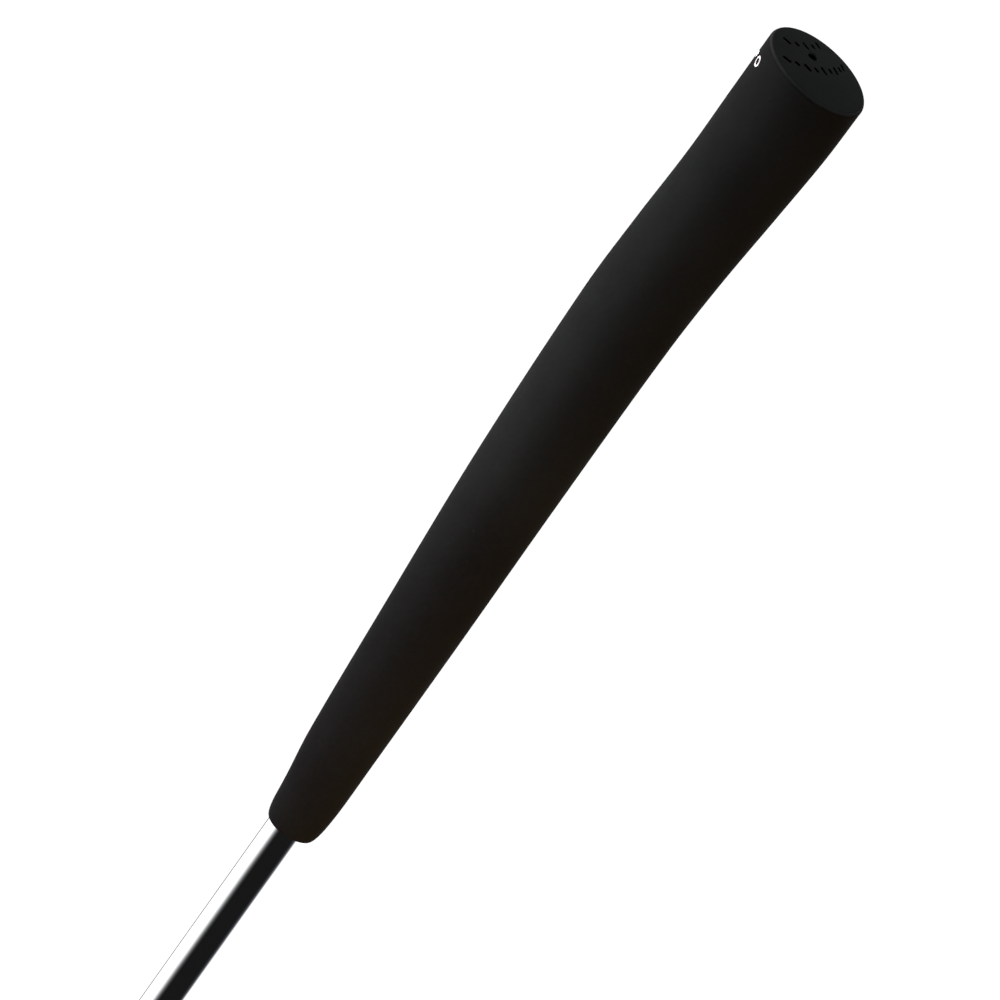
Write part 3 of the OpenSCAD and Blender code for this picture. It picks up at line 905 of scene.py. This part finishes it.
def build_spring():
    """Four even turns of round wire, set between the slugs and the washer."""
    wire_r, turns, steps, sides = 0.7, 4, 4 * 72, 20
    tip_steps = 3   # the wire narrows over its last steps
    bottom, top, radius = extent("slug_spring")
    low, high = bottom + wire_r, top - wire_r
    coil_r = radius - wire_r
    slope = (high - low) / turns / (2 * math.pi * coil_r)
    around = 2 * math.pi * np.arange(sides) / sides
    rings = []
    for i in range(steps + 1):
        u = i / steps
        t = 2 * math.pi * turns * u
        centre = np.array([coil_r * math.cos(t), coil_r * math.sin(t), low + (high - low) * u])
        outward = np.array([math.cos(t), math.sin(t), 0.0])
        up = np.array([math.sin(t) * slope, -math.cos(t) * slope, 1.0])
        up /= np.linalg.norm(up)
        shrink = 1.0
        for to_end in (u * steps, (1 - u) * steps):
            if to_end < tip_steps:
                tip = 1 - (to_end + 0.4) / (tip_steps + 0.4)
                shrink = min(shrink, math.sqrt(1 - tip ** 2))
        rings.append((centre + wire_r * shrink * (np.outer(np.cos(around), outward)
                                                  + np.outer(np.sin(around), up))) * MM)
    verts, faces = weld_rings(rings)
    faces = [face[::-1] for face in faces]
    faces.append(tuple(range(sides)))
    faces.append(tuple(steps * sides + k for k in reversed(range(sides))))
    coil = make("spring_coil", verts, faces, sharp=50)
    paint(coil, "wire")
    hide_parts("slug_spring")
    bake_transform(coil)


def build_slug(node):
    """A slug with a groove round its middle and a threaded hole through it."""
    bottom, top, radius = extent(node)
    middle = (bottom + top) / 2
    hole_r = 2.0
    outline = fillet([
        (hole_r, middle), (hole_r, bottom + 0.8), (2.55, bottom + 0.15), (2.8, bottom),
        (radius - 0.6, bottom, 0.1), (radius, bottom + 0.6, 0.15), (radius, middle - 0.55),
        (radius - 0.4, middle - 0.25), (radius - 0.4, middle + 0.25), (radius, middle + 0.55),
        (radius, top - 0.6, 0.15), (radius - 0.6, top, 0.15), (2.8, top, 0.1),
        (2.55, top - 0.15), (hole_r, top - 0.8), (hole_r, middle + 0.1)], steps=3)

    def on_hole(r):
        return abs(r - hole_r) < 1e-6

    # close rings down the hole, to carry its thread
    points = [outline[0]]
    for (r0, h0), (r1, h1) in zip(outline[:-1], outline[1:]):
        if on_hole(r0) and on_hole(r1):
            k = max(1, int(abs(h1 - h0) / 0.14))
            points += [(hole_r, h0 + (h1 - h0) * i / k) for i in range(1, k + 1)]
        else:
            points.append((r1, h1))

    def thread(r, z, angles):
        if on_hole(r):
            return (helix(z, angles, pitch=0.8, starts=1, depth=0.24)
                    * window(z, bottom + 0.8, top - 0.8, soft=0.3))
        return 0.0

    slug = turned(node + "_turned", points, segments=160, shape=thread, sharp=40)
    fit(slug, "brass", "slug_stack", node)


def build_seal():
    bottom, top, radius = extent("cap_seal")
    middle, cord_r = (bottom + top) / 2, (top - bottom) / 2
    ring_r = radius - cord_r
    seal = turned("o_ring", [(ring_r + cord_r * math.cos(t), middle + cord_r * math.sin(t))
                             for t in np.linspace(-math.pi, math.pi, 29)[:-1]])
    fit(seal, "seal", "slug_stack", "cap_seal")


# ---------------------------------------------------------------- end cap and bumper

def build_end_cap():
    """A fluted flange, a plain neck and a two-start thread."""
    bottom, top, radius = CAP_BOTTOM, CAP_TOP, CAP_R
    flange_top = bottom + 12
    neck_r, thread_r, hollow_r, hole_r = 8.4, 9.95, 7.0, 3.02
    outline = fillet([
        (hole_r, bottom + 0.35), (3.4, bottom), (radius - 1.55, bottom, 0.25),
        (radius, bottom + 1.5, 0.3), (radius, bottom + 1.7), (radius - 0.22, bottom + 1.85),
        (radius, bottom + 2.0), (radius, bottom + 10.3), (radius, flange_top - 0.75, 0.2),
        (radius - 0.6, flange_top, 0.25), (neck_r, flange_top, 0.25),
        (neck_r, flange_top + 2.6, 0.2), (9.35, flange_top + 2.6, 0.15),
        (thread_r, flange_top + 3.25, 0.15), (thread_r, top - 0.95, 0.15), (9.1, top, 0.15),
        (7.3, top), (hollow_r, top - 0.3), (hollow_r, bottom + 7.0, 0.3), (3.4, bottom + 7.0),
        (hole_r, bottom + 6.65)])
    outline = dense(outline, 0.4, bottom + 1.95, flange_top - 0.7)
    outline = dense(outline, 0.115, flange_top + 3.0, top - 0.7)

    flutes, flute_depth = 28, 0.45
    flute_centre = radius + 0.55   # each flute is an arc of 1 mm radius centred here

    def flutes_and_thread(r, z, angles):
        if r > radius - 0.05 and bottom + 1.9 < z < flange_top - 1.6:
            u = ((angles * flutes / (2 * math.pi) + 0.5) % 1.0 - 0.5) * 2 * math.pi / flutes
            aside = flute_centre * np.sin(u)
            arc = flute_centre * np.cos(u) - np.sqrt(np.clip(1 - aside ** 2, 0, 1))
            depth = np.clip(radius - arc, 0, flute_depth) * (np.abs(aside) < 1)
            return -depth * window(z, bottom + 1.95, bottom + 10.35, soft=0.75)
        if 9.85 < r < 10.0 and flange_top + 2.9 < z < top - 0.5:
            return (-helix(z, angles, THREAD_PITCH, THREAD_STARTS, depth=0.55)
                    * window(z, flange_top + 3.3, top - 1.0, soft=0.9))
        return 0.0

    cap = turned("end_cap_fluted", outline, segments=448, shape=flutes_and_thread, sharp=32)
    fit(cap, "cap_metal", "screw_cap", "end_cap")


def build_bumper():
    """A rounded foot with tread grooves, a side groove and a barbed stem."""
    radius, top = extent("bumper")[2], CAP_BOTTOM
    tread_depth, edge_r = 0.5, 2
    stem_r = 3.0
    outline = [(0, tread_depth), (1.6, tread_depth), (2.1, 0.0)]
    for r in (4.0, 6.4, 8.8):
        outline += [(r - 0.62, 0.0), (r - 0.36, tread_depth), (r + 0.36, tread_depth),
                    (r + 0.62, 0.0)]
    outline.append((radius - edge_r, 0.0))
    outline += [(radius - edge_r + edge_r * math.sin(a), edge_r - edge_r * math.cos(a), 0)
                for a in np.radians([15, 30, 45, 60, 75, 90])]
    outline += [(radius, 2.55), (radius - 0.45, 2.9), (radius - 0.45, 3.3), (radius, 3.65),
                (radius, top - 0.6), (radius - 0.5, top - 0.02), (stem_r, top - 0.02),
                (stem_r, top + 7.1), (3.7, top + 7.1), (3.3, top + 8.6), (2.2, top + 9.8),
                (0, top + 9.8)]
    bumper = turned("bumper_foot", fillet(outline, 0.14, steps=3), segments=224, sharp=42)
    fit(bumper, "bumper", "screw_cap", "bumper")


# ---------------------------------------------------------------- camera

CAMERA_AZIMUTH, CAMERA_ELEVATION = math.radians(120), math.radians(26)
# to the camera, and right and up across its view before it is rolled
BACK = Vector((math.sin(CAMERA_AZIMUTH) * math.cos(CAMERA_ELEVATION),
               -math.cos(CAMERA_AZIMUTH) * math.cos(CAMERA_ELEVATION),
               math.sin(CAMERA_ELEVATION)))
RIGHT = Vector((math.cos(CAMERA_AZIMUTH), math.sin(CAMERA_AZIMUTH), 0))
UP = BACK.cross(RIGHT)
OUT = Vector((BACK.x, BACK.y, 0)).normalized()   # level, towards the camera's side


def build_camera():
    roll = math.radians(35.43)
    sensor = 36                                 # mm
    view_width, view_distance = 0.2612, 6.0     # the frame is this wide this far away
    camera_distance = 6.0587                    # from the target
    # the target, from a point on the axis just above the grip's mouth
    target = (Vector((0, 0, (MOUTH + 1.1) * MM)) + RIGHT * (-4.866452 * MM)
              + UP * (100.969294 * MM))
    data = bpy.data.cameras.new("camera")
    camera = link(bpy.data.objects.new("camera", data))
    data.sensor_width = sensor
    data.lens = sensor * view_distance / view_width
    data.clip_start, data.clip_end = 0.1, 100
    right = RIGHT * math.cos(roll) + UP * math.sin(roll)
    up = UP * math.cos(roll) - RIGHT * math.sin(roll)
    turn = Matrix((right, up, BACK)).transposed()
    camera.matrix_world = Matrix.Translation(target + BACK * camera_distance) @ turn.to_4x4()
    bpy.context.scene.camera = camera


# ---------------------------------------------------------------- world and floor

WHITE = 1.04   # brightness of the background and the far floor

# Brightness by azimuth, in degrees: 0 towards the camera, positive to its right.
# Seen in reflections: a wall to the left, and one from the right round to behind
WALL_LEFT = [(-180, 0.0), (-156, 0.0), (-150, 1.3), (-66, 1.3), (-60, 0.85), (-49, 0.24),
             (-41, 0.055), (-32, 0.0)]
WALL_RIGHT = [(50, 0.0), (60, (0.02, 0.022, 0.032)), (67, 0.17), (71, 0.75), (76, 1.3),
              (179, 1.3)]
# Light on matt surfaces from above and below the horizon, strongest from behind
SKY_HIGH = [(-180, 1.0), (-140, 3.4), (-105, 0.3), (-75, 0.2), (-50, 0.1), (-25, 0.03),
            (0, 0.02), (60, 0.02), (90, 0.15), (120, 0.35), (150, 0.45), (179.9, 1.0)]
SKY_LOW = [(-180, 0.6), (-140, 0.2), (-105, 0.1), (-75, 0.0), (0, 0.02), (60, 0.02),
           (120, 0.06), (150, 0.18), (179.9, 0.6)]
# Brightness by height: 0 straight down, 0.5 level, 1 straight up
BAND_LEFT = [(0.0, 0.30), (0.14, 0.45), (0.19, 1.0), (0.50, 1.0), (0.60, 0.40), (1.0, 0.30)]
BAND_RIGHT = [(0.0, 0.03), (0.18, 0.05), (0.22, 1.0), (0.40, 1.0), (0.46, 0.06), (1.0, 0.04)]
BAND_HIGH = [(0.0, 0.0), (0.40, 0.0), (0.52, 1.0), (1.0, 1.0)]
BAND_LOW = [(0.0, 1.0), (0.40, 1.0), (0.52, 0.0), (1.0, 0.0)]
REFLECTED_FILL = 0.0095


def build_world():
    """White to the camera, a studio in reflections, a softer one for diffuse light."""
    world = bpy.data.worlds.new("studio")
    bpy.context.scene.world = world
    world.use_nodes = True
    world.node_tree.nodes.clear()
    g = Graph(world.node_tree)
    direction = g.node("ShaderNodeTexCoord").outputs["Generated"]
    angle = g.math("ARCTAN2", g.dot(direction, tuple(RIGHT)), g.dot(direction, tuple(OUT)))
    azimuth = g.add(g.math("DIVIDE", angle, 2 * math.pi), 0.5)

    def around(stops):
        return g.ramp(azimuth, [((degrees + 180) / 360, value) for degrees, value in stops])

    walls = [around(WALL_LEFT), around(WALL_RIGHT)]
    skies = [around(SKY_HIGH), around(SKY_LOW)]
    height = g.add(g.mul(g.dot(direction, (0, 0, 1)), 0.5), 0.5)

    def banded(parts, bands):
        """The sum of two parts, each faded by its band in height."""
        first, second = (g.mix(1, part, g.ramp(height, band), "MULTIPLY")
                         for part, band in zip(parts, bands))
        return g.mix(1, first, second, "ADD")

    def background(colour, strength):
        return g.node("ShaderNodeBackground",
                      {"Color": colour, "Strength": strength}).outputs[0]

    def choose(fac, a, b):
        return g.node("ShaderNodeMixShader", {0: fac, 1: a, 2: b}).outputs[0]

    rays = g.node("ShaderNodeLightPath").outputs
    reflected = g.mix(1, banded(walls, (BAND_LEFT, BAND_RIGHT)), REFLECTED_FILL, "ADD")
    glossy = background(reflected, strength=1.0)
    diffuse = background(banded(skies, (BAND_HIGH, BAND_LOW)), strength=1.0)
    white = background(1, strength=WHITE)
    lit = choose(rays["Is Glossy Ray"], diffuse, glossy)
    g.node("ShaderNodeOutputWorld", {0: choose(rays["Is Camera Ray"], lit, white)})


def floor_material():
    """Pale matt near the stick, fading to plain white away from it."""
    material = bpy.data.materials.new("floor_white")
    material.use_nodes = True
    material.node_tree.nodes.clear()
    g = Graph(material.node_tree)
    matt = g.node("ShaderNodeBsdfDiffuse", {"Color": 0.9}).outputs[0]
    glow = g.node("ShaderNodeEmission", {"Strength": 0.80}).outputs[0]
    near = g.node("ShaderNodeAddShader", {0: matt, 1: glow}).outputs[0]
    far = g.node("ShaderNodeEmission", {"Strength": WHITE}).outputs[0]
    place = g.node("ShaderNodeTexCoord").outputs["Object"]
    distance = g.node("ShaderNodeVectorMath", {0: place}, operation="LENGTH").outputs["Value"]
    fade = g.remap(distance, source=(0.03, 0.30), target=(0.0, 1.0),
                   interpolation_type="SMOOTHSTEP")
    mixed = g.node("ShaderNodeMixShader", {0: fade, 1: near, 2: far}).outputs[0]
    g.node("ShaderNodeOutputMaterial", {0: mixed})
    return material


def build_floor():
    """A wide floor that only the camera sees."""
    half = 60.0
    clearance = 0.0084   # room below for the end cap when it is screwed right out
    material = floor_material()
    floor = make("floor", [(-half, -half, 0), (half, -half, 0), (half, half, 0),
                           (-half, half, 0)], [(0, 1, 2, 3)], sharp=None)
    floor.location.z = cad_lo.z - clearance
    floor.data.materials.append(material)
    floor.visible_glossy = False
    floor.visible_diffuse = False
    floor.visible_transmission = False
    floor.visible_shadow = False


# ---------------------------------------------------------------- lights

def area(name, position, look, size, power, colour=(1, 1, 1)):
    data = bpy.data.lights.new(name, "AREA")
    data.shape = "RECTANGLE"
    data.size = data.size_y = size
    data.energy = power
    data.color = colour
    light = link(bpy.data.objects.new(name, data))
    light.location = position
    light.rotation_mode = "QUATERNION"
    light.rotation_quaternion = (position - look).to_track_quat("Z", "Y")
    light.visible_camera = False
    light.visible_glossy = False
    return light


def lamp(name, azimuth, z, watts, distance=0.42, spread=None):
    """A small soft box beside the stick; watts is a colour with the power in it."""
    a = math.radians(azimuth)
    axis = Vector((0, 0, z))
    position = axis + OUT * (distance * math.cos(a)) + RIGHT * (distance * math.sin(a))
    power = max(watts)
    light = area(name, position, axis, size=0.14, power=power,
                 colour=tuple(w / power for w in watts))
    if spread:
        light.data.spread = math.radians(spread)


# name, azimuth from the camera's side in degrees, height, watts by colour, spread in degrees
LAMPS = [
    ("left_high", -98, 0.56, (1.85, 1.67, 1.85), None),
    ("left_upper", -84, 0.508, (0.040, 0.043, 0.044), 30),
    ("left_mid", -82, 0.42, (1.12, 1.10, 0.80), None),
    ("front_mid", -45, 0.42, (0.25, 0.50, 0.62), None),
    ("front_low", -45, 0.28, (0.72, 0.06, 0.03), None),
    ("face_low", -5, 0.34, (0.03, 0.25, 0.42), None),
    ("warm_low", 35, 0.28, (1.38, 0.90, 0.38), None),
    ("warm_side", 75, 0.28, (0.62, 0.22, 0.06), None),
    ("back_high", 188, 0.55, (1.9, 1.9, 1.9), None),
    ("back_mid", 188, 0.42, (1.6, 1.6, 1.6), None),
    ("back_low", 188, 0.29, (1.6, 1.6, 1.6), None),
]
# azimuth and watts of the lamps round the barrel
HEAD_LAMPS = [(-70, 0.10), (20, 0.04), (95, 0.05), (180, 0.08)]


def build_lights():
    for name, azimuth, z, watts, spread in LAMPS:
        lamp(name, azimuth, z, watts, spread=spread)
    area("top", position=Vector((0, 0, 2.2)) - OUT * 0.8, look=Vector((0, 0, 0.47)),
         size=1.6, power=24)
    for i, (azimuth, watts) in enumerate(HEAD_LAMPS):
        lamp("head_%d" % i, azimuth, z=0.07, watts=(watts,) * 3, distance=0.36, spread=64)


# ---------------------------------------------------------------- build

build_grip()
build_tube()
build_tape()
build_butt_plug()
build_ferrule()
build_trim_ring()
build_barrel()
build_sleeve()
build_cross_pin()
build_washer()
build_spring()
for slug_node in ("slug_upper", "slug_middle", "slug_lower"):
    build_slug(slug_node)
build_seal()
build_end_cap()
build_bumper()

build_camera()
build_world()
build_floor()
build_lights()

view = bpy.context.scene.view_settings
view.view_transform = "Standard"
view.look = "None"
view.exposure = 0
view.gamma = 1
